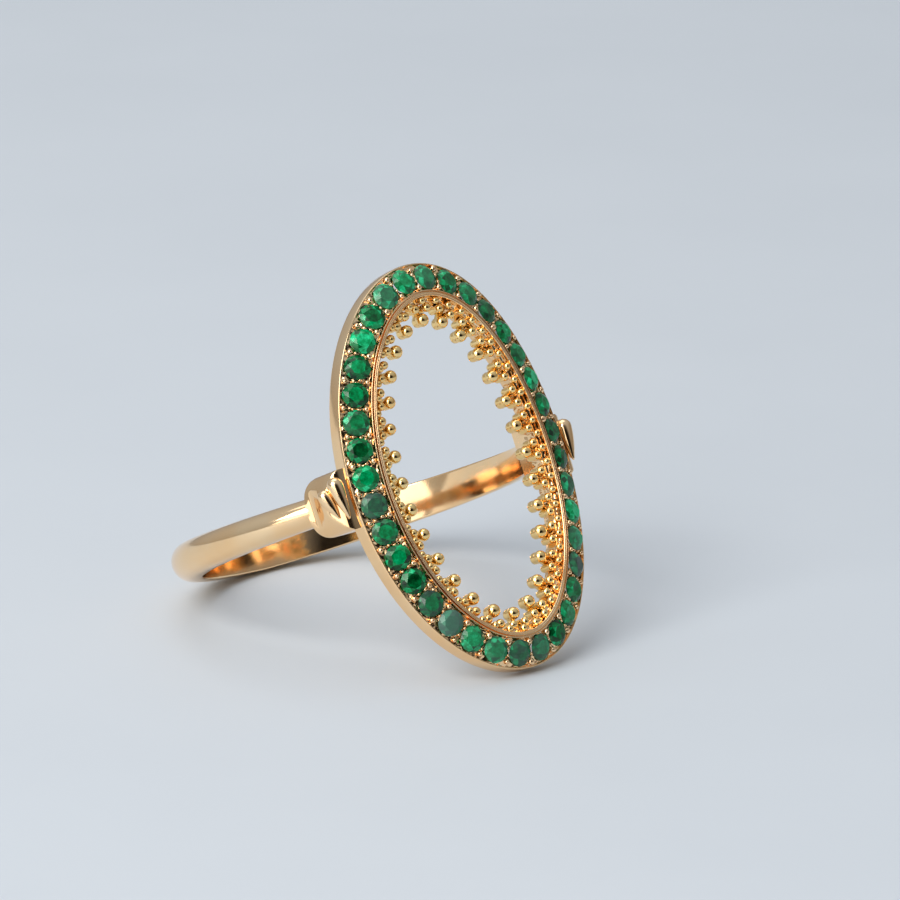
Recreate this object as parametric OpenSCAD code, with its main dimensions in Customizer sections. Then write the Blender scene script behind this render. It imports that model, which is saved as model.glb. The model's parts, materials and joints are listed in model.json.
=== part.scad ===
// Open oval cocktail ring: a D-section shank, two reeded shoulders and an oval hoop
// with a line of round green stones outside and granulation inside.
// The sub-parts are drawn in the ring's own axes: X across the finger, Y along the
// finger and Z out of the face, from the middle of the stone line. lay_down() then
// turns the finished ring onto the surface it rests on, hoop end and shank back down.

/* [Finger bore] */
// Inside diameter of the shank, a US size 7
finger_bore = 17.3; // [16:0.1:19]
// Clearance between the finger and the underside of the hoop
finger_gap = 0.17; // [0:0.01:0.5]

/* [Shank] */
// Width of the band behind the finger
band_w_back = 2.3; // [1.8:0.1:3]
// Width of the band where it meets the shoulders
band_w_front = 1.5; // [1.2:0.1:1.8]
// Thickness of the band at its crown
band_t = 1.35; // [1.1:0.05:1.6]
// Thickness of the band along its two edges
band_edge = 0.4; // [0.3:0.05:0.6]
// Angle from the face to each end of the band
band_start = 53; // [50:1:56]

/* [Oval hoop] */
// Half-length of the stone line, along the finger
line_a = 9.8; // [8.5:0.1:11]
// Half-width of the stone line, across the finger
line_b = 6.2; // [5.6:0.1:6.6]
// Radius that the hoop is bent to, over the finger
bend_r = 26.5; // [24:0.5:60]
// Outward slope of the stone channel, in degrees
channel_slope = 15; // [8:1:18]
// Height of the hoop's wall, from its rim to its underside
wall_h = 0.84; // [0.8:0.01:1]
// Distance from the stone line to the outer wall
wall_out = 0.8; // [0.78:0.01:0.9]
// Half-width of the channel between its two lips
channel_half = 0.7; // [0.68:0.01:0.72]

/* [Stones] */
// Number of stones round the hoop
stone_count = 36; // [36]
// Diameter of each stone at its girdle
stone_d = 1.31; // [1.2:0.01:1.34]
// Radius of the grain beads that hold the stones
bead_r = 0.16; // [0.12:0.01:0.18]

/* [Granulation] */
// Number of granule clusters round the inside of the collar
cluster_count = 28; // [24:2:32]
// Radius of the granule at the tip of each cluster
tip_r = 0.34; // [0.28:0.01:0.35]
// Radius of the granules behind each tip
rim_r = 0.24; // [0.2:0.01:0.25]
// Radius of the small granules along the collar
grain_r = 0.19; // [0.15:0.01:0.2]

/* [Shoulders] */
// Width of each shoulder block, along the finger
block_w = 3.1; // [2.6:0.1:3.2]
// Radius of the reed's round end, next to the hoop
reed_r = 0.42; // [0.36:0.01:0.46]

/* [Hidden] */
$fn = 48;
bore_r = finger_bore / 2;
hoop_steps = 96;
shank_steps = 64;
line_steps = 180;
lip_w = 0.055;
groove_w = 0.08;
groove_depth = 0.16;
collar_w = 0.17;
ledge_w = 0.25;
ledge_drop = 0.45;
lining_step = 0.01;
eps = 0.02;

// Heights over the stone line's own level.
slope = tan(channel_slope);
floor_drop = 0.1;
rim_h = 0.055 - slope * wall_out;
under_h = rim_h - wall_h;
lip_in = -channel_half - lip_w;
lip_h = 0.08 - slope * lip_in;
collar_out = lip_in - groove_w;
collar_in = collar_out - collar_w;
collar_h = lip_h + 0.02;
inner_wall = collar_in - ledge_w;

// The bore's centre lies this far behind the face.
bore_drop = bore_r - under_h + finger_gap;
crown_r = bore_r + band_t;

function unit(v) = v / norm(v);
function line_xy(t) = [line_b * sin(t), line_a * cos(t)];
function outward(t) = unit([sin(t) / line_b, cos(t) / line_a]);
function bend(x) = -x * x / (2 * bend_r);

// A point of the hoop: t is the angle round it, u the distance outside the stone
// line and h the height over the stone line's level.
function hoop_pt(t, u, h) = let (p = line_xy(t) + u * outward(t)) [p.x, p.y, h + bend(p.x)];
function face_normal(t) =
    let (n = outward(t)) unit([slope * n.x + line_xy(t).x / bend_r, slope * n.y, 1]);

// Equal spacing: arc length round a line u outside the stone line, against angle.
function run(u, i) = i == 0 ? 0
    : norm(hoop_pt(i * 90 / line_steps, u, 0) - hoop_pt((i - 1) * 90 / line_steps, u, 0));
function run_sum(d, i = 0, sum = 0) =
    i == len(d) ? [] : concat([sum + d[i]], run_sum(d, i + 1, sum + d[i]));
function quarter_table(u) =
    let (s = run_sum([for (i = [0:line_steps]) run(u, i)]))
    [for (i = [0:line_steps]) [s[i] / s[line_steps], i * 90 / line_steps]];
stone_table = quarter_table(0);
cluster_table = quarter_table(inner_wall - 2 * rim_r);

// The angle at a fraction f of the whole way round, from the +Y end towards +X.
function angle_at(table, f) =
    let (g = f * 4, q = floor(g), r = g - q)
    q % 2 == 0 ? q * 90 + lookup(r, table) : (q + 1) * 90 - lookup(1 - r, table);
function stone_angle(k) = angle_at(stone_table, (k + 0.5) / stone_count);
function gap_angle(k) = angle_at(stone_table, k / stone_count);
function cluster_angle(k) = angle_at(cluster_table, k / cluster_count);

// Sections of the hoop and of the collar, as [u, h].
hoop_section = [
    [wall_out, under_h], [wall_out, rim_h - 0.14], [wall_out - 0.02, rim_h - 0.04],
    [wall_out - 0.05, rim_h], [channel_half + 0.02, rim_h],
    [channel_half, -slope * channel_half - floor_drop],
    [-channel_half, slope * channel_half - floor_drop],
    [-channel_half - 0.01, lip_h], [lip_in, lip_h], [lip_in, under_h],
];
collar_section = [
    [lip_in, under_h], [lip_in, lip_h - groove_depth], [collar_out, lip_h - groove_depth],
    [collar_out, collar_h], [collar_in, collar_h],
    [collar_in, collar_h - ledge_drop], [inner_wall, collar_h - ledge_drop], [inner_wall, under_h],
];

// Band: an angle round the bore from the face, and a section as [across, radius].
function band_w(angle) =
    let (away = min(abs(angle), 360 - abs(angle)), k = (away - band_start) / (180 - band_start))
    band_w_front + (band_w_back - band_w_front) * k;
function band_section(w) = concat(
    [[-w / 2, bore_r + 0.15], [w / 2, bore_r + 0.15]],
    [for (a = [0:18:180]) [w / 2 * cos(a), bore_r + band_edge + (band_t - band_edge) * sin(a)]]);
function band_pt(angle, p) = [p.y * sin(angle), p.x, p.y * cos(angle) - bore_drop];

// A closed loop (or an open run with end caps) of equal sections, as one polyhedron.
function side_faces(rows, cols, closed) = [
    for (i = [0:rows - (closed ? 1 : 2)], j = [0:cols - 1])
        let (i2 = (i + 1) % rows, j2 = (j + 1) % cols)
            each [[i * cols + j, i2 * cols + j, i2 * cols + j2],
                  [i * cols + j, i2 * cols + j2, i * cols + j2]]
];
module loft(points, rows, cols, closed) {
    caps = closed ? [] : [
        [for (j = [0:cols - 1]) j],
        [for (j = [cols - 1:-1:0]) (rows - 1) * cols + j],
    ];
    polyhedron(points, concat(side_faces(rows, cols, closed), caps), convexity = 6);
}

hoop_points = [
    for (i = [0:hoop_steps - 1], p = hoop_section) hoop_pt(i * 360 / hoop_steps, p.x, p.y)
];
collar_points = [
    for (i = [0:hoop_steps - 1], p = collar_section) hoop_pt(i * 360 / hoop_steps, p.x, p.y)
];
band_angles = [
    for (i = [0:shank_steps]) band_start + (360 - 2 * band_start) * i / shank_steps
];
band_points = [for (a = band_angles, p = band_section(band_w(a))) band_pt(a, p)];

// The lying pose: the turn about X at which the hoop and the band are equally low.
function turned(p, a) = [p.x, p.y * cos(a) - p.z * sin(a), p.y * sin(a) + p.z * cos(a)];
function lowest(points, a) = min([for (p = points) turned(p, a).z]);
function lay_search(lo, hi, n) =
    n == 0 ? (lo + hi) / 2
    : let (mid = (lo + hi) / 2)
        lowest(hoop_points, mid) < lowest(band_points, mid)
        ? lay_search(lo, mid, n - 1)
        : lay_search(mid, hi, n - 1);
lay_angle = lay_search(40, 80, 30);
lay_z = -lowest(hoop_points, lay_angle);
lay_all = [for (p = concat(hoop_points, band_points)) turned(p, lay_angle).y];
lay_y = -(min(lay_all) + max(lay_all)) / 2;

module lay_down() {
    translate([0, lay_y, lay_z]) rotate([lay_angle, 0, 0]) children();
}

// Stands the children on the sloping channel, their +Z along its normal.
module on_channel(t, u = 0) {
    n = face_normal(t);
    translate(hoop_pt(t, u, -slope * u)) rotate([0, acos(n.z), atan2(n.y, n.x)]) children();
}

module bore_cut() {
    translate([0, 0, -bore_drop]) rotate([90, 0, 0]) cylinder(h = 12, r = bore_r, center = true, $fn = 128);
}

// Cut stone: a crown, a thin girdle and a pavilion.
module stone(grow = 0) {
    girdle = stone_d / 2 + grow;
    cylinder(h = 0.04, r = girdle);
    translate([0, 0, 0.04]) cylinder(h = 0.2, r1 = girdle, r2 = girdle * 0.6);
    translate([0, 0, -0.5]) cylinder(h = 0.5, r1 = 0.08, r2 = girdle);
}

module emerald(k) {
    color("seagreen") lay_down() on_channel(stone_angle(k)) stone();
}

module bezel_hoop() {
    color("gold") lay_down() difference() {
        loft(hoop_points, hoop_steps, len(hoop_section), true);
        for (k = [0:stone_count - 1])
            on_channel(stone_angle(k)) {
                stone(0.004);
                translate([0, 0, -2]) cylinder(h = 2, r = 0.4);
            }
    }
}

module inner_collar() {
    color("gold") lay_down() loft(collar_points, hoop_steps, len(collar_section), true);
}

// Grains raised over the channel floor, two in each gap between stones.
module setting_beads() {
    color("goldenrod") lay_down()
        for (k = [0:stone_count - 1], u = [-0.48, 0.48])
            on_channel(gap_angle(k), u) intersection() {
                translate([0, 0, -0.03]) sphere(r = bead_r);
                translate([0, 0, -floor_drop]) cylinder(h = 1, r = 0.5);
            }
}

// One ring of granules: each cluster has one at every shift, counted in clusters, off the
// inner wall by out, at height h. Posts below them reach down to the collar's underside.
rim_out = rim_r - 0.005;
granule_h = collar_h - 0.5;
tip_out = rim_out + 0.6;
tip_h = granule_h - 0.2;
post_low = under_h + 0.05;
stem_w = 0.2;
module granules(shifts, out, h, r, post = true) {
    for (k = [0:cluster_count - 1], shift = shifts)
        translate(hoop_pt(cluster_angle(k + shift), inner_wall - out, h)) {
            sphere(r = r);
            if (post) translate([0, 0, post_low - h]) cylinder(h = h - post_low, r = r - 0.03);
        }
}
// Upright stems that carry the tips out from the wall, between the collar's granules.
module stems() {
    for (k = [0:cluster_count - 1]) {
        t = cluster_angle(k);
        n = outward(t);
        translate(hoop_pt(t, inner_wall - tip_out, post_low))
            rotate([0, 0, atan2(n.y, n.x)])
                translate([0, -stem_w / 2, 0]) cube([tip_out, stem_w, tip_h - post_low]);
    }
}
module rim_granules() { color("goldenrod") lay_down() granules([-0.24, 0.24], rim_out, granule_h, rim_r); }
module collar_granules() {
    color("goldenrod") lay_down()
        granules([0, 0.5], grain_r - ledge_w, collar_h - ledge_drop + grain_r, grain_r, post = false);
}
module tip_granules() {
    color("gold") lay_down() {
        granules([0], tip_out, tip_h, tip_r);
        stems();
    }
}

// The lining of the band: a true cylinder inside, its sides tapering with the band's.
module band_lining() {
    half_back = band_w_back / 2 - lining_step;
    half_front = band_w_front / 2 - lining_step;
    front = at_bore(band_start, bore_r).y;
    intersection() {
        translate([0, 0, -bore_drop]) rotate([90, 0, 0]) rotate([0, 0, band_start - 90])
            rotate_extrude(angle = 2 * band_start - 360, $fn = 128)
                translate([bore_r, -2]) square([0.28, 4]);
        rotate([90, 0, 90]) linear_extrude(height = 30, center = true)
            polygon([
                [-half_back, -bore_drop - crown_r], [half_back, -bore_drop - crown_r],
                [half_front, front + 1], [-half_front, front + 1],
            ]);
    }
}
module shank() {
    color("gold") lay_down() {
        loft(band_points, shank_steps + 1, len(band_section(1)), false);
        band_lining();
    }
}

// Shoulder: a block between the band's end and the hoop's wall, drawn for +X. Its profile
// carries the band's crown on, and the block is domed across its width.
wall_x = line_b + wall_out;
wall_top = rim_h + bend(wall_x) - 0.22;
wall_low = under_h + bend(wall_x);
block_out = wall_x + 1;
dome_r = 2.2;
shoulder_depth = 8;
function at_bore(angle, r) = [r * sin(angle), r * cos(angle) - bore_drop];
module block_profile() {
    polygon(concat(
        [[wall_x, wall_top], [wall_x + 0.45, wall_top - 0.14], [block_out - 0.15, wall_low - 0.1]],
        [[block_out, wall_low - 0.5], at_bore(band_start - 3, crown_r + 0.02)],
        [at_bore(band_start, crown_r - 0.03)],
        [for (a = [band_start:-1:42]) at_bore(a, bore_r)],
        [[line_b - 0.2, under_h + bend(line_b - 0.2) - eps], [wall_x, wall_low]]));
}
module block_solid() {
    difference() {
        intersection() {
            rotate([90, 0, 0]) linear_extrude(height = block_w, center = true) block_profile();
            translate([block_out - dome_r, 0, -shoulder_depth])
                cylinder(h = shoulder_depth, r = dome_r, $fn = 96);
        }
        for (s = [-1, 1]) scale([1, s, 1]) corner_cut();
        bore_cut();
    }
}
// Rounds the block's outer corner, at its end next to the band.
module corner_cut() {
    r = 0.65;
    c = at_bore(band_start, crown_r);
    translate([0, block_w / 2 - r, c.y + r]) rotate([0, 90, 0])
        difference() {
            translate([0, 0, -1]) cube([2, 2, 30]);
            translate([0, 0, -2]) cylinder(h = 40, r = r);
        }
}

// Reed: a half-round ridge with a round end and a long tapering end.
module reed(start, end, r) {
    v = end - start;
    translate(start) {
        sphere(r = r);
        rotate([0, acos(v.z / norm(v)), atan2(v.y, v.x)]) cylinder(h = norm(v), r1 = r, r2 = 0.05);
    }
}
near_start = [wall_x + 0.6, 0.8, wall_top - 0.15];
near_end = [wall_x + 0.45, -0.95, wall_top + 0.04];
far_start = [block_out - 0.04, 0.42, wall_low - 0.14];
far_end = [block_out - 0.27, -0.8, wall_top - 0.42];
module near_reed() {
    difference() {
        reed(near_start, near_end, reed_r);
        block_solid();
        translate([0, -block_w, -shoulder_depth]) cube([wall_x, 2 * block_w, shoulder_depth]);
    }
}
module far_reed() {
    difference() {
        reed(far_start, far_end, reed_r - 0.04);
        block_solid();
        reed(near_start, near_end, reed_r);
    }
}

module right_shoulder() { color("gold") lay_down() block_solid(); }
module left_shoulder() { color("gold") lay_down() mirror([1, 0, 0]) block_solid(); }
module right_near_reed() { color("goldenrod") lay_down() near_reed(); }
module right_far_reed() { color("goldenrod") lay_down() far_reed(); }
module left_near_reed() { color("goldenrod") lay_down() mirror([1, 0, 0]) near_reed(); }
module left_far_reed() { color("goldenrod") lay_down() mirror([1, 0, 0]) far_reed(); }

function two_digits(k) = k < 10 ? str("0", k) : str(k);
function emerald_name(k) = str("emerald_", two_digits(k + 1));

shank();
right_shoulder();
left_shoulder();
right_near_reed();
right_far_reed();
left_near_reed();
left_far_reed();
bezel_hoop();
inner_collar();
setting_beads();
collar_granules();
rim_granules();
tip_granules();
for (k = [0:stone_count - 1])
    emerald(k);
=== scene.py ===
"""Open oval cocktail ring with a line of green stones, lying on a pale table.

Every piece is made in the ring's own axes, in millimetres: X across the finger, Y along it and
Z out of the face, from the middle of the stone line. add_piece() lays it down in the row frame.
"""
import json
import math
import random

import bmesh
import bpy
import numpy as np
from mathutils import Matrix, Vector, noise


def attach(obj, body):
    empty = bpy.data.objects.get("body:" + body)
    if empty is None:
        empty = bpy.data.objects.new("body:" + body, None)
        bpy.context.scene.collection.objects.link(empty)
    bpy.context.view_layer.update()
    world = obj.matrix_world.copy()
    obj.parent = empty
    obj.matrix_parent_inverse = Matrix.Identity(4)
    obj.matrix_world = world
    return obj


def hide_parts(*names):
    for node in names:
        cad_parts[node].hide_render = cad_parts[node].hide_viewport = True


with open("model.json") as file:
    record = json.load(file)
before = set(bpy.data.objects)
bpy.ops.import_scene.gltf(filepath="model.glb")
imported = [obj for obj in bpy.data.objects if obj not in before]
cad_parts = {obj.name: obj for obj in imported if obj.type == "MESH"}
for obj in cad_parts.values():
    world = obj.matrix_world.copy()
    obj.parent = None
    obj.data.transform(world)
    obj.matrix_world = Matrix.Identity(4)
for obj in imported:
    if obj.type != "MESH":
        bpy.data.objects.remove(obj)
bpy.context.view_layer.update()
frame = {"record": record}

# ---------------------------------------------------------------- sizes, in millimetres
# The hoop. Distances u are outwards from the stone line, and heights h are over its level.
LINE_A, LINE_B = 9.8, 6.2              # half-axes of the stone line
BEND_R = 26.5                          # the hoop is bent to this radius over the finger
SLOPE = math.tan(math.radians(15))     # outward slope of the stone channel
WALL_OUT = 0.8                         # stone line to outer wall
WALL_H = 0.84                          # height of the outer wall
CHANNEL_HALF = 0.7                     # half-width of the channel
FLOOR_DROP = 0.1                       # channel floor below the stones' girdles
LIP_IN = -0.755                        # stone line to the inner face of the lip
RIM_OVER, LIP_OVER = 0.055, 0.08       # outer rim and inner lip over the slope of the channel
RIM_H = RIM_OVER - SLOPE * WALL_OUT
UNDER_H = RIM_H - WALL_H
LIP_H = LIP_OVER - SLOPE * LIP_IN

# The collar and its ledge
COLLAR_OUT, COLLAR_IN = -0.835, -1.005  # the collar's two faces
COLLAR_H = LIP_H + 0.02
LEDGE_W, LEDGE_DROP = 0.25, 0.45
INNER_WALL = COLLAR_IN - LEDGE_W       # the wall below the ledge
LEDGE_H = COLLAR_H - LEDGE_DROP

# Stones, seats and grain beads
STONES, STONE_R = 36, 0.655
STONE_STRETCH = 1.04                   # width of a stone across the line, over its width along it
SEAT_R, DRILL_R = 0.6, 0.4             # seat at the channel floor, and the open hole below it
BEAD_R, SMALL_BEAD_R = 0.15, 0.085
GREY_STONE = 21                        # the one cloudy, greyish stone, counted from 0
CELL = 16                              # steps round the hoop for each stone

# Granules: small ones on the ledge, and in each cluster two on the wall and a large tip before them
CLUSTERS = 28
TIP_R, RIM_R, GRAIN_R = 0.34, 0.24, 0.19
RIM_OUT, TIP_OUT = RIM_R - 0.005, RIM_R + 0.595   # inner wall to granule centres
ROW_H = COLLAR_H - 0.5
TIP_H = ROW_H - 0.2
POST_LOW = UNDER_H + 0.05

# The finger band, round the bore
BAND_START = math.radians(53)          # angle from the top of the bore to each end of the band
BAND_W_BACK, BAND_W_FRONT = 2.3, 1.5
BAND_T, BAND_EDGE = 1.35, 0.4          # thickness at the crown and at the edges
FINGER_GAP = 0.17                      # bore to the underside of the hoop
BORE = frame["record"]["mounts"][0]
BORE_R = BORE["dims"]["r_mm"]
BORE_DROP = BORE_R - UNDER_H + FINGER_GAP

# The shoulder blocks, between the hoop's outer wall and the band
BLOCK_W = 3.1
BLOCK_CORNER = 0.65                    # radius of the lower corners, seen along X
DOME_R = 2.2                           # radius of the outer face across the block's width
WALL_X = LINE_B + WALL_OUT
WALL_TOP = RIM_H - WALL_X ** 2 / (2 * BEND_R) - 0.22
WALL_LOW = UNDER_H - WALL_X ** 2 / (2 * BEND_R)
BLOCK_OUT = WALL_X + 1
NEAR_REED_R, FAR_REED_R = 0.42, 0.38


def ring_to_row():
    """The matrix from the ring's axes in millimetres to the row frame, from the bore mount."""
    along = Vector(BORE["axis"]).normalized()
    across = Vector((1, 0, 0))
    out = across.cross(along)
    turn = Matrix((across, along, out)).transposed().to_4x4()
    origin = Vector(BORE["pos_m"]) + out * BORE_DROP * 0.001
    return Matrix.Translation(origin) @ turn @ Matrix.Scale(0.001, 4)


PLACE = ring_to_row()


# ---------------------------------------------------------------- the hoop's own geometry
def hoop_pt(t, u, h):
    """Points at angle t round the hoop, u outside the stone line and h over its level."""
    t, u, h = np.broadcast_arrays(np.asarray(t, float), u, h)
    n = np.stack([np.sin(t) / LINE_B, np.cos(t) / LINE_A], -1)
    n /= np.linalg.norm(n, axis=-1, keepdims=True)
    x = LINE_B * np.sin(t) + u * n[..., 0]
    y = LINE_A * np.cos(t) + u * n[..., 1]
    return np.stack([x, y, h - x * x / (2 * BEND_R)], -1)


def evenly(u, count, phase=0.0):
    """Angles of count points evenly spaced round the line u outside the stone line."""
    t = np.linspace(0, 2 * math.pi, 2881)
    p = hoop_pt(t, u, 0)
    run = np.concatenate([[0], np.cumsum(np.linalg.norm(np.diff(p, axis=0), axis=1))])
    return np.interp((np.arange(count) + phase) / count % 1 * run[-1], run, t)


def stone_axes(t):
    """Centre and three axes of a stone's seat: round the line, outwards, and its normal."""
    step = 1e-4
    centre = hoop_pt(t, 0, 0)
    ex = hoop_pt(t + step, 0, 0) - centre
    ex /= np.linalg.norm(ex)
    ey = hoop_pt(t, step, -SLOPE * step) - centre
    ez = np.cross(ex, ey)
    ez /= np.linalg.norm(ez)
    return centre, ex, np.cross(ez, ex), ez


def rounded(corners, steps=6, closed=False):
    """A section [(u, h, r), ...] with each corner of radius r rounded off."""
    out = []
    for i, (u, h, r) in enumerate(corners):
        p = np.array([u, h])
        if r == 0 or (not closed and i in (0, len(corners) - 1)):
            out.append(p)
            continue
        q0 = np.array(corners[i - 1][:2]) - p
        q1 = np.array(corners[(i + 1) % len(corners)][:2]) - p
        a = p + q0 * min(r / np.linalg.norm(q0), 0.5)
        b = p + q1 * min(r / np.linalg.norm(q1), 0.5)
        for s in np.linspace(0, 1, steps):
            out.append((1 - s) ** 2 * a + 2 * s * (1 - s) * p + s * s * b)
    return np.array(out)


def grid_faces(rows, cols, wrap_rows=False, wrap_cols=False):
    """Quads over a grid of points listed row by row, closed on itself where it wraps."""
    faces = []
    for i in range(rows if wrap_rows else rows - 1):
        for j in range(cols if wrap_cols else cols - 1):
            i2, j2 = (i + 1) % rows, (j + 1) % cols
            faces.append((i * cols + j, i2 * cols + j, i2 * cols + j2, i * cols + j2))
    return faces


def grain(p, scale, seed=0.0):
    """Smooth noise from -1 to 1 at a point, with lumps about 1 / scale wide."""
    return noise.noise(Vector(p) * scale + Vector((seed, 2 * seed, -seed)))


# ---------------------------------------------------------------- meshes
class Builder:
    """Collects vertices and faces of one piece."""

    def __init__(self):
        self.verts, self.faces, self.count = [], [], 0

    def add(self, verts, faces):
        verts = np.asarray(verts, float).reshape(-1, 3)
        self.verts.append(verts)
        self.faces += [tuple(self.count + i for i in f) for f in faces]
        self.count += len(verts)

    def mesh(self, name, weld=0.0005, sharp=None):
        mesh = bpy.data.meshes.new(name)
        mesh.from_pydata(np.concatenate(self.verts).tolist(), [], self.faces)
        bm = bmesh.new()
        bm.from_mesh(mesh)
        if weld:
            bmesh.ops.remove_doubles(bm, verts=bm.verts, dist=weld)
        bmesh.ops.recalc_face_normals(bm, faces=bm.faces)
        bm.to_mesh(mesh)
        bm.free()
        mesh.shade_smooth()
        if sharp is not None:
            mesh.set_sharp_from_angle(angle=math.radians(sharp))
        return mesh


def add_piece(name, mesh, material, node):
    """Lay a mesh down in the row frame as a named piece that stands for one CAD node."""
    mesh.transform(PLACE)
    mesh.materials.append(material)
    obj = bpy.data.objects.new(name, mesh)
    bpy.context.scene.collection.objects.link(obj)
    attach(obj, "root")
    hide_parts(node)


# ---------------------------------------------------------------- materials
def new_material(name):
    m = bpy.data.materials.new(name)
    m.use_nodes = True
    nodes = m.node_tree.nodes
    return m, nodes, m.node_tree.links, nodes["Principled BSDF"]


def noise_node(nodes, links, coords, scale, detail, rough=0.5, stretch=None):
    """Noise over the object; stretch is the rotation and scale of the space it is drawn in."""
    tex = nodes.new("ShaderNodeTexNoise")
    tex.inputs["Scale"].default_value = scale
    tex.inputs["Detail"].default_value = detail
    tex.inputs["Roughness"].default_value = rough
    source = coords
    if stretch:
        mapping = nodes.new("ShaderNodeMapping")
        mapping.inputs["Rotation"].default_value = stretch[0]
        mapping.inputs["Scale"].default_value = stretch[1]
        links.new(coords, mapping.inputs["Vector"])
        source = mapping.outputs["Vector"]
    links.new(source, tex.inputs["Vector"])
    return tex.outputs["Fac"]


def ramp_node(nodes, links, fac, stops):
    """A colour ramp: the two end stops come first, then those between them."""
    ramp = nodes.new("ShaderNodeValToRGB")
    el = ramp.color_ramp.elements
    for i, (pos, colour) in enumerate(stops):
        e = el[i] if i < 2 else el.new(pos)
        e.position = pos
        e.color = (*colour, 1)
    links.new(fac, ramp.inputs["Fac"])
    return ramp.outputs["Color"]


def gold(name, light, deep, rough, lumps=0.0, scratches=0.25):
    """Polished yellow gold: colour drift, uneven polish, fine scratches and soft lumps."""
    m, nodes, links, bsdf = new_material(name)
    coords = nodes.new("ShaderNodeTexCoord").outputs["Object"]
    drift = noise_node(nodes, links, coords, 350, 3)
    colour = ramp_node(nodes, links, drift, [(0.35, deep), (0.65, light)])
    links.new(colour, bsdf.inputs["Base Color"])
    bsdf.inputs["Metallic"].default_value = 1.0
    polish = noise_node(nodes, links, coords, 1100, 5, 0.65)
    spread = nodes.new("ShaderNodeMapRange")
    spread.inputs["From Min"].default_value = 0.3
    spread.inputs["From Max"].default_value = 0.7
    spread.inputs["To Min"].default_value = rough[0]
    spread.inputs["To Max"].default_value = rough[1]
    links.new(polish, spread.inputs["Value"])
    links.new(spread.outputs["Result"], bsdf.inputs["Roughness"])
    hair = noise_node(nodes, links, coords, 900, 2, 0.5, ((0.5, 0.3, 0.9), (1, 14, 1)))
    bump = nodes.new("ShaderNodeBump")
    bump.inputs["Strength"].default_value = scratches
    bump.inputs["Distance"].default_value = 0.000004
    links.new(hair, bump.inputs["Height"])
    normal = bump.outputs["Normal"]
    if lumps:
        soft = noise_node(nodes, links, coords, 2600, 3, 0.6)
        second = nodes.new("ShaderNodeBump")
        second.inputs["Strength"].default_value = lumps
        second.inputs["Distance"].default_value = 0.00004
        links.new(soft, second.inputs["Height"])
        links.new(normal, second.inputs["Normal"])
        normal = second.outputs["Normal"]
    links.new(normal, bsdf.inputs["Normal"])
    return m


def emerald():
    """Green stone under a clear polish: each of its facets has a tone of its own, a painted reflection from
    inside the stone, and a noise adds cloudy inclusions mixed with painted bright and dark inner
    reflections.
    """
    m, nodes, links, bsdf = new_material("emerald_cut")
    coords = nodes.new("ShaderNodeTexCoord").outputs["Object"]
    # The cut attribute: green is a painted reflection tone for each of the facets, blue is the stone's own
    # greyness.
    cut = nodes.new("ShaderNodeAttribute")
    cut.attribute_name = "cut"
    parts = nodes.new("ShaderNodeSeparateColor")
    links.new(cut.outputs["Color"], parts.inputs["Color"])
    # Noise inside the stone: partly cloudy inclusions, partly painted bright and dark inner reflections.
    clouds_and_inner_reflections = noise_node(nodes, links, coords, 2600, 5, 0.7)
    total = nodes.new("ShaderNodeMath")
    total.operation = "MULTIPLY_ADD"
    total.inputs[1].default_value = 0.9
    links.new(clouds_and_inner_reflections, total.inputs[0])
    links.new(parts.outputs["Green"], total.inputs[2])
    # Green from near black to bright: these shades are painted reflections inside the stone over its body
    # colour.
    colour = ramp_node(nodes, links, total.outputs["Value"], [
        (0.38, (0.0, 0.012, 0.003)), (1.0, (0.02, 0.7, 0.3)),
        (0.56, (0.0, 0.065, 0.015)), (0.72, (0.0, 0.17, 0.045)), (0.88, (0.0, 0.34, 0.11))])
    grey = nodes.new("ShaderNodeMix")
    grey.data_type = "RGBA"
    grey.inputs["B"].default_value = (0.09, 0.17, 0.14, 1)
    links.new(parts.outputs["Blue"], grey.inputs["Factor"])
    links.new(colour, grey.inputs["A"])
    links.new(grey.outputs["Result"], bsdf.inputs["Base Color"])
    bsdf.inputs["Roughness"].default_value = 0.06
    bsdf.inputs["IOR"].default_value = 1.5
    bsdf.inputs["Specular IOR Level"].default_value = 0.35
    bsdf.inputs["Transmission Weight"].default_value = 0.05
    return m


POLISHED = gold("gold_polished", (1.0, 0.73, 0.44), (1.0, 0.66, 0.35), (0.08, 0.15), scratches=0.15)
BRIGHT_CUT = gold("gold_bright_cut", (1.0, 0.72, 0.44), (1.0, 0.63, 0.34), (0.1, 0.2), lumps=0.15)
GRANULATED = gold("gold_granules", (1.0, 0.74, 0.34), (1.0, 0.66, 0.26), (0.08, 0.16), lumps=0.06)
EMERALD = emerald()


# ---------------------------------------------------------------- oval hoop
def seat_circle(axes, around, radius, drop):
    """Circle about a stone's axis, each point in the direction of one point of around."""
    centre, ex, ey, ez = axes
    d = around - centre
    a = np.arctan2(d @ ey, d @ ex)
    return centre + radius * (np.cos(a)[:, None] * ex + np.sin(a)[:, None] * ey) - drop * ez


def cell_edge(t, u0, u1, h0, h1):
    """The closed outline of one stone's cell, 4 * CELL points on its four sides."""
    s = np.arange(CELL) / CELL
    sides = [
        (np.full(CELL, t[0]), u0 + (u1 - u0) * s), (t[:CELL], np.full(CELL, u1)),
        (np.full(CELL, t[CELL]), u1 + (u0 - u1) * s), (t[CELL:0:-1], np.full(CELL, u0)),
    ]
    t_all = np.concatenate([a for a, _ in sides])
    u_all = np.concatenate([b for _, b in sides])
    return hoop_pt(t_all, u_all, h0 + (h1 - h0) * (u_all - u0) / (u1 - u0))


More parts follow.
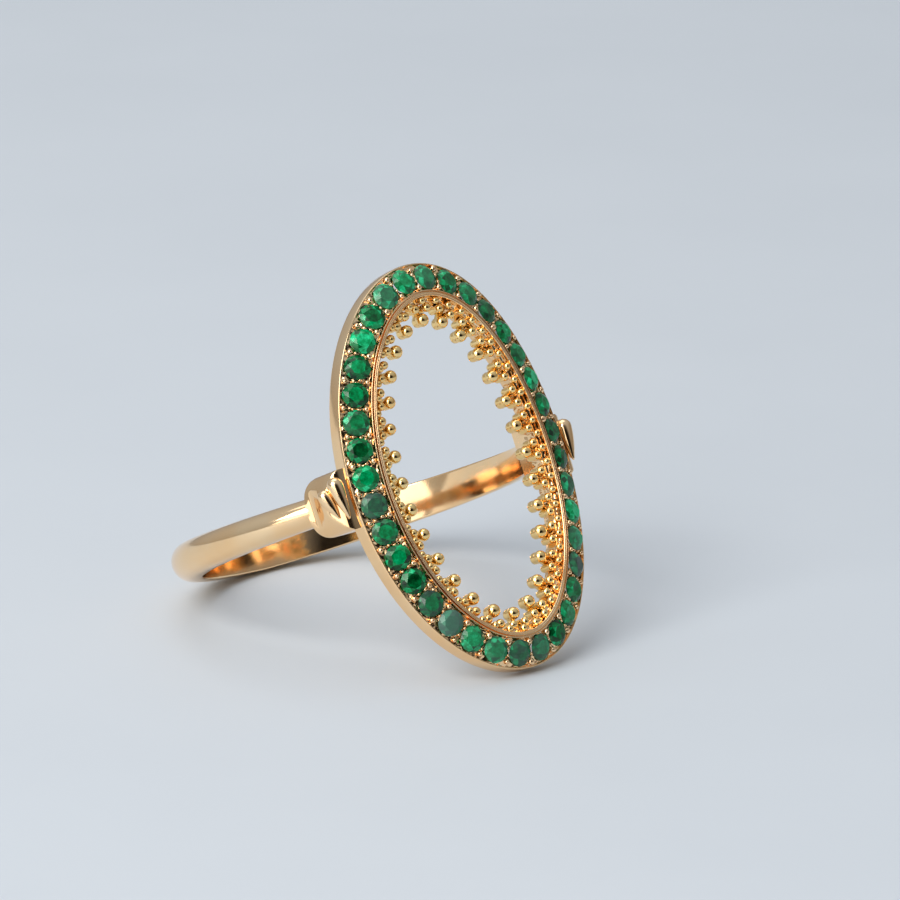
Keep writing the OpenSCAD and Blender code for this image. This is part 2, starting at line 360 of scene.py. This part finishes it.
def bezel_hoop():
    """The hoop: both walls as lofts, and for each stone a cell with its seat and drilled hole."""
    b = Builder()
    t = np.append(evenly(0, STONES * CELL), 2 * math.pi)
    floor_out, floor_in = -SLOPE * CHANNEL_HALF - FLOOR_DROP, SLOPE * CHANNEL_HALF - FLOOR_DROP
    under_out = WALL_OUT - 0.12
    outer = rounded([
        (CHANNEL_HALF, floor_out, 0), (CHANNEL_HALF + 0.005, RIM_H - 0.03, 0.01),
        (CHANNEL_HALF + 0.015, RIM_H, 0.015), (WALL_OUT - 0.035, RIM_H, 0.02),
        (WALL_OUT, RIM_H - 0.09, 0.06), (WALL_OUT + 0.015, RIM_H - 0.45, 0.15),
        (WALL_OUT - 0.01, UNDER_H, 0.11), (under_out, UNDER_H, 0)])
    inner = rounded([
        (-CHANNEL_HALF, floor_in, 0), (-CHANNEL_HALF - 0.005, LIP_H - 0.02, 0.01),
        (-CHANNEL_HALF - 0.015, LIP_H, 0.012), (LIP_IN, LIP_H, 0.015), (LIP_IN, UNDER_H, 0)])
    for section in (outer, inner):
        u, h = section[:, 0], section[:, 1]
        b.add(hoop_pt(t[:-1, None], u[None], h[None]), grid_faces(len(t) - 1, len(u), True))
    rings, loop = 6, 4 * CELL
    for k in range(STONES):
        cell = t[k * CELL:(k + 1) * CELL + 1]
        axes = stone_axes(cell[CELL // 2])
        top = cell_edge(cell, -CHANNEL_HALF, CHANNEL_HALF, floor_in, floor_out)
        seat = seat_circle(axes, top, SEAT_R, FLOOR_DROP)
        rows = []
        for i in range(rings + 1):
            f = i / rings
            row = top + (seat - top) * f
            if i:
                lift = np.array([0.07 * grain(p, 4.5) + 0.05 * grain(p, 11, 3) for p in row])
                row = row + lift[:, None] * axes[3]
            rows.append(row)
        low = cell_edge(cell, LIP_IN, under_out, UNDER_H, UNDER_H)
        rows += [seat_circle(axes, top, DRILL_R + 0.02, 0.38), seat_circle(axes, low, DRILL_R, 0.6)]
        drill = seat_circle(axes, low, DRILL_R, 1.0)
        slide = (UNDER_H - drill[:, 0] ** 2 / (2 * BEND_R) - drill[:, 2]) / axes[3][2]
        drill = drill + slide[:, None] * axes[3]
        rows += [drill + (low - drill) * f for f in np.linspace(0, 1, 4)]
        b.add(np.concatenate(rows), grid_faces(len(rows), loop, False, True))
    add_piece("oval_hoop", b.mesh("oval_hoop", sharp=50), POLISHED, "bezel_hoop")


def inner_collar():
    """The collar with a fine line along its rim, its ledge, and the uneven wall below the ledge."""
    b = Builder()
    rim = rounded([
        (LIP_IN, UNDER_H, 0.0), (LIP_IN, LIP_H - 0.16, 0.02), (COLLAR_OUT, LIP_H - 0.16, 0.02),
        (COLLAR_OUT, COLLAR_H, 0.02), (COLLAR_OUT - 0.07, COLLAR_H, 0.02),
        (COLLAR_OUT - 0.085, COLLAR_H - 0.03, 0.01), (COLLAR_OUT - 0.1, COLLAR_H - 0.005, 0.01),
        (COLLAR_IN, COLLAR_H - 0.01, 0.025), (COLLAR_IN - 0.02, COLLAR_H - 0.06, 0.0)], 5)
    face = [(COLLAR_IN - 0.02, h) for h in np.linspace(COLLAR_H - 0.1, LEDGE_H + 0.1, 4)]
    fillet = [(COLLAR_IN - 0.06, LEDGE_H + 0.03), (COLLAR_IN - 0.14, LEDGE_H), (INNER_WALL + 0.03, LEDGE_H)]
    wall = [(INNER_WALL, h) for h in np.linspace(LEDGE_H - 0.05, UNDER_H, 12)]
    uneven_from = len(rim) + len(face)
    section = np.concatenate([rim, face, fillet, wall])
    t = evenly(COLLAR_IN, STONES * CELL * 2)
    p = hoop_pt(t[:, None], section[None, :, 0], section[None, :, 1])
    for i in range(len(t)):
        away = hoop_pt(t[i], -1, 0) - hoop_pt(t[i], 0, 0)
        for j in range(uneven_from, len(section)):
            p[i, j] += away * (0.06 * grain(p[i, j], 3.2, 7) + 0.015 * grain(p[i, j], 8, 2))
    b.add(p, grid_faces(len(t), len(section), True, True))
    add_piece("collar_ring", b.mesh("collar_ring", sharp=50), POLISHED, "inner_collar")


# ---------------------------------------------------------------- grains
def ball(centre, radius, rng, detail, squash):
    """A ball stretched or flattened by up to squash along each axis."""
    bm = bmesh.new()
    bmesh.ops.create_icosphere(bm, subdivisions=detail, radius=1)
    size = radius * np.array([1 + rng.uniform(-squash, squash) for _ in range(3)])
    verts = np.array([v.co for v in bm.verts]) * size + centre
    faces = [tuple(v.index for v in f.verts) for f in bm.faces]
    bm.free()
    return verts, faces


def post(centre, radius, low):
    """A round post below a granule: its foot is rounded and it swells a little on the way."""
    depth = centre[2] - low
    rows = [(0.0, radius * 0.9), (0.3, radius * 0.94), (0.6, radius), (0.85, radius * 0.96),
            (0.95, radius * 0.8), (1.0, radius * 0.5), (1.0, 0.001)]
    sides = 24
    a = np.linspace(0, math.tau, sides + 1)[:-1]
    ring = np.stack([np.cos(a), np.sin(a), np.zeros(sides)], -1)
    verts = [centre + ring * r - np.array([0, 0, depth * f]) for f, r in rows]
    return np.concatenate(verts), grid_faces(len(rows), sides, False, True)


def stem(t):
    """The upright web that carries one tip out from the collar's wall, waisted half way."""
    outer, inner = hoop_pt(t, INNER_WALL + 0.05, 0), hoop_pt(t, INNER_WALL - TIP_OUT, 0)
    side = np.cross((inner - outer) / np.linalg.norm(inner - outer), (0, 0, 1))
    verts, stations = [], 9
    for f in np.linspace(0, 1, stations):
        p = outer + (inner - outer) * f
        half = 0.11 + 0.1 * (2 * f - 1) ** 2
        top = TIP_H - 0.02 - 0.1 * math.sin(math.pi * f)
        low = POST_LOW + 0.02
        for d, h in ((-half, low), (-half, top - 0.08), (-half * 0.5, top), (half * 0.5, top),
                     (half, top - 0.08), (half, low)):
            q = p + side * d
            verts.append((q[0], q[1], p[2] + h))
    return verts, grid_faces(stations, 6, False, True)


def granules(name, node, shifts, out, h, radius, posts=True, stems=False):
    """One granule in each cluster for each shift, which is a part of the step between clusters."""
    rng = random.Random(node)
    b = Builder()
    for shift in shifts:
        for t in evenly(INNER_WALL - 2 * RIM_R, CLUSTERS, shift):
            level = hoop_pt(t, INNER_WALL - out, 0)
            centre = level + np.array([rng.uniform(-0.03, 0.03), rng.uniform(-0.03, 0.03), h])
            b.add(*ball(centre, radius * rng.uniform(0.94, 1.03), rng, 4, 0.05))
            if posts:
                b.add(*post(centre, radius - 0.03, level[2] + POST_LOW))
            if stems:
                b.add(*stem(t))
    add_piece(name, b.mesh(name, weld=0, sharp=50), GRANULATED, node)


def granulation():
    granules("collar_grains", "collar_granules", (0, 0.5), GRAIN_R - LEDGE_W, LEDGE_H + GRAIN_R,
             GRAIN_R, posts=False)
    granules("rim_grains", "rim_granules", (-0.24, 0.24), RIM_OUT, ROW_H, RIM_R)
    granules("tip_grains", "tip_granules", (0,), TIP_OUT, TIP_H, TIP_R, stems=True)


def setting_beads():
    """Raised grains between the stones: two large ones by the walls, two small ones between."""
    rng = random.Random(11)
    b = Builder()
    for t in evenly(0, STONES):
        for u, r in ((-0.5, BEAD_R), (-0.17, SMALL_BEAD_R), (0.17, SMALL_BEAD_R), (0.5, BEAD_R)):
            du = u + rng.uniform(-0.05, 0.05)
            centre = hoop_pt(t + rng.uniform(-0.008, 0.008), du, -SLOPE * du + rng.uniform(-0.02, 0.03))
            b.add(*ball(centre, r * rng.uniform(0.85, 1.12), rng, 3, 0.16))
    add_piece("grain_beads", b.mesh("grain_beads", weld=0), BRIGHT_CUT, "setting_beads")


# ---------------------------------------------------------------- stones
def brilliant(rng):
    """Round brilliant cut about +Z with its girdle at 0: crown, table, girdle and pavilion."""
    girdle, crown, depth, table = 0.04, 0.2, 0.5, 0.58

    def ring(n, r, z, turn):
        return [(r * math.cos(a), r * math.sin(a), z)
                for a in (math.tau * (i + turn) / n for i in range(n))]

    r = STONE_R
    verts = ring(8, r * table, girdle + crown, 0) + ring(8, r * 0.79, girdle + crown * 0.55, 0.5)
    verts += ring(16, r, girdle, 0) + ring(16, r, 0, 0) + ring(8, r * 0.3, -depth * 0.72, 0.5)
    verts += [(0, 0, -depth)]
    verts = np.array(verts)
    verts += np.array([[rng.uniform(-0.008, 0.008) for _ in range(3)] for _ in verts])
    t0, s0, g0, l0, p0, culet = 0, 8, 16, 32, 48, 56
    faces = [tuple(range(8))]
    for i in range(8):
        j, g = (i + 1) % 8, 2 * i
        faces += [(t0 + i, t0 + j, s0 + i), (t0 + i, s0 + (i - 1) % 8, g0 + g, s0 + i),
                  (s0 + i, g0 + g, g0 + g + 1), (s0 + i, g0 + g + 1, g0 + (g + 2) % 16),
                  (p0 + i, l0 + g, l0 + g + 1), (p0 + i, l0 + g + 1, l0 + (g + 2) % 16),
                  (culet, p0 + (i - 1) % 8, l0 + g, p0 + i)]
    for g in range(16):
        faces.append((g0 + g, l0 + g, l0 + (g + 1) % 16, g0 + (g + 1) % 16))
    return verts, faces


def emeralds():
    """The stones, each a little turned and tilted, with a tone of its own and a painted reflection tone on
    each of its facets.
    """
    rng = random.Random(5)
    for k, t in enumerate(evenly(0, STONES, 0.5)):
        centre, ex, ey, ez = stone_axes(t)
        verts, faces = brilliant(rng)
        turn = rng.uniform(0, math.tau)
        c, s = math.cos(turn), math.sin(turn)
        x = verts[:, 0] * c - verts[:, 1] * s
        y = STONE_STRETCH * (verts[:, 0] * s + verts[:, 1] * c)
        tilt = [rng.uniform(-0.04, 0.04) for _ in range(2)]
        z = verts[:, 2] + tilt[0] * x + tilt[1] * y
        b = Builder()
        b.add(centre + x[:, None] * ex + y[:, None] * ey + z[:, None] * ez, faces)
        name = f"cut_stone_{k + 1:02d}"
        mesh = b.mesh(name, weld=0)
        mesh.shade_flat()
        tone = rng.uniform(-0.12, 0.14)
        cloudy = 0.8 if k == GREY_STONE else rng.choice((0, 0, 0, 0.1, 0.2, 0.35))
        # Green channel: painted reflection brightness for each of the facets; blue: how cloudy and grey the
        # stone is.
        colours = mesh.color_attributes.new("cut", "FLOAT_COLOR", "CORNER")
        for face in mesh.polygons:
            # A painted reflection tone for each of the facets, lighter or darker at random over the stone's
            # own tone.
            facet_reflection = 0.22 + tone + rng.uniform(-0.2, 0.2)
            for corner in face.loop_indices:
                colours.data[corner].color = (0, max(facet_reflection, 0), cloudy, 1)
        add_piece(name, mesh, EMERALD, f"emerald_{k + 1:02d}")


# ---------------------------------------------------------------- shank and shoulders
def at_bore(angle, r):
    """X and Z at radius r about the finger's axis, by the angle from the top of the bore."""
    return np.array([r * np.sin(angle), r * np.cos(angle) - BORE_DROP])


def shank():
    """The half-round band, widest behind the finger, from one shoulder to the other."""
    b = Builder()
    steps = 320
    angles = np.linspace(BAND_START - 0.01, math.tau - BAND_START + 0.01, steps)
    rows = []
    for a in angles:
        away = min(a, math.tau - a)
        w = BAND_W_FRONT + (BAND_W_BACK - BAND_W_FRONT) * (away - BAND_START) / (math.pi - BAND_START)
        crown = [(w / 2 * math.cos(q), BORE_R + BAND_EDGE + (BAND_T - BAND_EDGE) * math.sin(q), 0)
                 for q in np.linspace(0, math.pi, 33)]
        side = [(-w / 2, BORE_R, 0.1), (w / 2, BORE_R, 0.1)]
        section = rounded(side + crown, closed=True)
        wobble = 1 + 0.0012 * noise.noise(Vector((math.cos(a), math.sin(a), 0.3)) * 2.5)
        x, z = at_bore(a, section[:, 1] * wobble)
        rows.append(np.stack([x, section[:, 0], z], -1))
    cols = len(rows[0])
    faces = grid_faces(steps, cols, False, True)
    faces += [tuple(range(cols)), tuple(reversed(range((steps - 1) * cols, steps * cols)))]
    b.add(np.concatenate(rows), faces)
    add_piece("finger_band", b.mesh("finger_band", sharp=40), POLISHED, "shank")


def shoulder_block(side, name, node):
    """A loft across the width: every slice has the block's profile, drawn in towards the sides."""
    crown = BORE_R + BAND_T
    foot_x = LINE_B - 0.2
    start = math.degrees(BAND_START)
    corners = [(WALL_X - 0.05, WALL_TOP, 0), (WALL_X + 0.45, WALL_TOP - 0.14, 0.28),
               (BLOCK_OUT - 0.15, WALL_LOW - 0.1, 0.35), (BLOCK_OUT, WALL_LOW - 0.5, 0.35),
               (*at_bore(BAND_START - 0.05, crown + 0.02), 0.3),
               (*at_bore(BAND_START, crown - 0.03), 0.04), (*at_bore(BAND_START, BORE_R + 0.02), 0.0)]
    corners += [(*at_bore(math.radians(a), BORE_R), 0) for a in np.arange(start, 41, -1)]
    corners += [(foot_x, UNDER_H - foot_x ** 2 / (2 * BEND_R) - 0.02, 0), (WALL_X - 0.05, WALL_LOW, 0)]
    profile = rounded(corners, 7)
    crown_low = at_bore(BAND_START, crown)[1]
    half = BLOCK_W / 2
    rows = []
    for q in np.linspace(-math.pi / 2, math.pi / 2, 49):
        y = half * math.sin(q)
        inset = DOME_R - math.sqrt(DOME_R ** 2 - y * y)
        edge = max(abs(y) - (half - BLOCK_CORNER), 0)
        lift = BLOCK_CORNER - math.sqrt(max(BLOCK_CORNER ** 2 - edge ** 2, 0))
        soft = 0.1 * max(abs(y) / half - 0.93, 0) / 0.07
        x = np.minimum(profile[:, 0], BLOCK_OUT - inset - soft)
        z = np.maximum(profile[:, 1], crown_low + lift)
        inside = np.hypot(x, z + BORE_DROP) < BORE_R
        x[inside] = np.sqrt(np.maximum(BORE_R ** 2 - (z[inside] + BORE_DROP) ** 2, 0))
        rows.append(np.stack([side * x, np.full(len(x), y), z], -1))
    cols = len(profile)
    faces = grid_faces(len(rows), cols, False, True)
    faces += [tuple(range(cols)), tuple(reversed(range((len(rows) - 1) * cols, len(rows) * cols)))]
    b = Builder()
    b.add(np.concatenate(rows), faces)
    add_piece(name, b.mesh(name, sharp=50), POLISHED, node)


def reed(side, name, node, start, end, radius):
    """A half-round ridge with a round head and a long tapering tail."""
    start, end = np.array(start), np.array(end)
    axis = end - start
    length = np.linalg.norm(axis)
    axis /= length
    across = np.cross(axis, (0, 0, 1))
    across /= np.linalg.norm(across)
    third = np.cross(axis, across)
    rows = []
    for q in np.linspace(0, math.pi / 2, 12)[:-1]:
        rows.append((-radius * math.cos(q), max(radius * math.sin(q), 0.002)))
    for s in np.linspace(0, 1, 24):
        rows.append((s * length, radius * (1 - 0.88 * s ** 1.6)))
    rows.append((length + 0.03, 0.002))
    turns = np.linspace(0, math.tau, 33)[:-1]
    ring = np.cos(turns)[:, None] * across + np.sin(turns)[:, None] * third
    verts = np.concatenate([start + axis * s + ring * r for s, r in rows])
    verts[:, 0] *= side
    b = Builder()
    b.add(verts, grid_faces(len(rows), len(turns), False, True))
    add_piece(name, b.mesh(name), POLISHED, node)


def shoulders():
    """A block and two reeds on each side; the left is the mirror image of the right."""
    near = ((WALL_X + 0.6, 0.8, WALL_TOP - 0.15), (WALL_X + 0.45, -0.95, WALL_TOP + 0.04), NEAR_REED_R)
    far = ((BLOCK_OUT - 0.04, 0.42, WALL_LOW - 0.14), (BLOCK_OUT - 0.27, -0.8, WALL_TOP - 0.42), FAR_REED_R)
    for side, word in ((1, "right"), (-1, "left")):
        shoulder_block(side, f"{word}_block", f"{word}_shoulder")
        reed(side, f"{word}_inner_reed", f"{word}_near_reed", *near)
        reed(side, f"{word}_outer_reed", f"{word}_far_reed", *far)


# ---------------------------------------------------------------- stage, light and camera
def camera():
    turn, rise, roll = math.radians(-41.128), math.radians(17.729), math.radians(0.452)
    distance, aim_left, aim_up = 0.4008, 0.001116, 0.000725
    back = Vector((math.sin(turn) * math.cos(rise), -math.cos(turn) * math.cos(rise), math.sin(rise)))
    flat = Vector((math.cos(turn), math.sin(turn), 0))
    level = back.cross(flat)
    right = flat * math.cos(roll) + level * math.sin(roll)
    up = back.cross(right)
    data = bpy.data.cameras.new("camera")
    data.sensor_width, data.lens = 36, 320
    data.clip_start, data.clip_end = 0.01, 5
    cam = bpy.data.objects.new("camera", data)
    place = PLACE.translation - right * aim_left + up * aim_up + back * distance
    cam.matrix_world = Matrix.Translation(place) @ Matrix((right, up, back)).transposed().to_4x4()
    bpy.context.scene.collection.objects.link(cam)
    bpy.context.scene.camera = cam


def area_light(name, place, target, size, power, colour):
    """A rectangular light at place, turned to face target, in metres and watts."""
    data = bpy.data.lights.new(name, "AREA")
    data.shape = "RECTANGLE"
    data.size, data.size_y = size
    data.energy, data.color = power, colour
    obj = bpy.data.objects.new(name, data)
    obj.location = place
    obj.rotation_euler = (Vector(target) - Vector(place)).to_track_quat("-Z", "Y").to_euler()
    bpy.context.scene.collection.objects.link(obj)


def stage():
    """A pale table, without an edge in view."""
    mesh = bpy.data.meshes.new("table_top")
    mesh.from_pydata([(-2, -2, 0), (2, -2, 0), (2, 2, 0), (-2, 2, 0)], [], [(0, 1, 2, 3)])
    m, nodes, links, bsdf = new_material("pale_table")
    coords = nodes.new("ShaderNodeTexCoord").outputs["Object"]
    mottle = noise_node(nodes, links, coords, 60, 4)
    colour = ramp_node(nodes, links, mottle, [(0.3, (0.58, 0.62, 0.665)), (0.7, (0.595, 0.635, 0.68))])
    links.new(colour, bsdf.inputs["Base Color"])
    bsdf.inputs["Roughness"].default_value = 0.6
    mesh.materials.append(m)
    table = bpy.data.objects.new("table_top", mesh)
    bpy.context.scene.collection.objects.link(table)


def surroundings():
    """A pale room, brightest overhead and dimmer low down, with a dark patch behind the camera."""
    world = bpy.data.worlds.new("studio")
    world.use_nodes = True
    nodes, links = world.node_tree.nodes, world.node_tree.links
    coords = nodes.new("ShaderNodeTexCoord").outputs["Generated"]

    def towards(direction):
        """How nearly a direction of view agrees with this one: 1 along it, 0 across it."""
        dot = nodes.new("ShaderNodeVectorMath")
        dot.operation = "DOT_PRODUCT"
        dot.inputs[1].default_value = Vector(direction).normalized()
        links.new(coords, dot.inputs[0])
        return dot.outputs["Value"]

    room = ramp_node(nodes, links, towards((-0.2, 0.25, 1.0)), [
        (0.0, (0.42, 0.4, 0.38)), (0.9, (0.8, 0.86, 0.93)), (0.35, (0.62, 0.64, 0.66))])
    dark = ramp_node(nodes, links, towards((-0.42, -0.88, 0.22)), [
        (0.7, (1.0, 1.0, 1.0)), (0.93, (0.035, 0.03, 0.025))])
    mix = nodes.new("ShaderNodeMix")
    mix.data_type = "RGBA"
    mix.blend_type = "MULTIPLY"
    mix.inputs["Factor"].default_value = 1.0
    links.new(room, mix.inputs["A"])
    links.new(dark, mix.inputs["B"])
    links.new(mix.outputs["Result"], nodes["Background"].inputs["Color"])
    nodes["Background"].inputs["Strength"].default_value = 0.64
    bpy.context.scene.world = world


def lights():
    """A large key from the left, a low fill beside it and a soft top light."""
    area_light("key", (-0.44, -0.04, 0.4), (0, 0, 0.01), (0.4, 0.35), 2.55, (1.0, 0.98, 0.95))
    area_light("left", (-0.45, -0.15, 0.17), (0, 0, 0.01), (0.4, 0.3), 0.6, (1.0, 0.96, 0.9))
    area_light("top", (0.0, 0.2, 0.55), (0, 0, 0), (0.5, 0.4), 0.75, (0.97, 0.98, 1.0))


camera()
stage()
surroundings()
lights()
bpy.context.scene.view_settings.view_transform = "Standard"
bezel_hoop()
inner_collar()
granulation()
setting_beads()
emeralds()
shank()
shoulders()
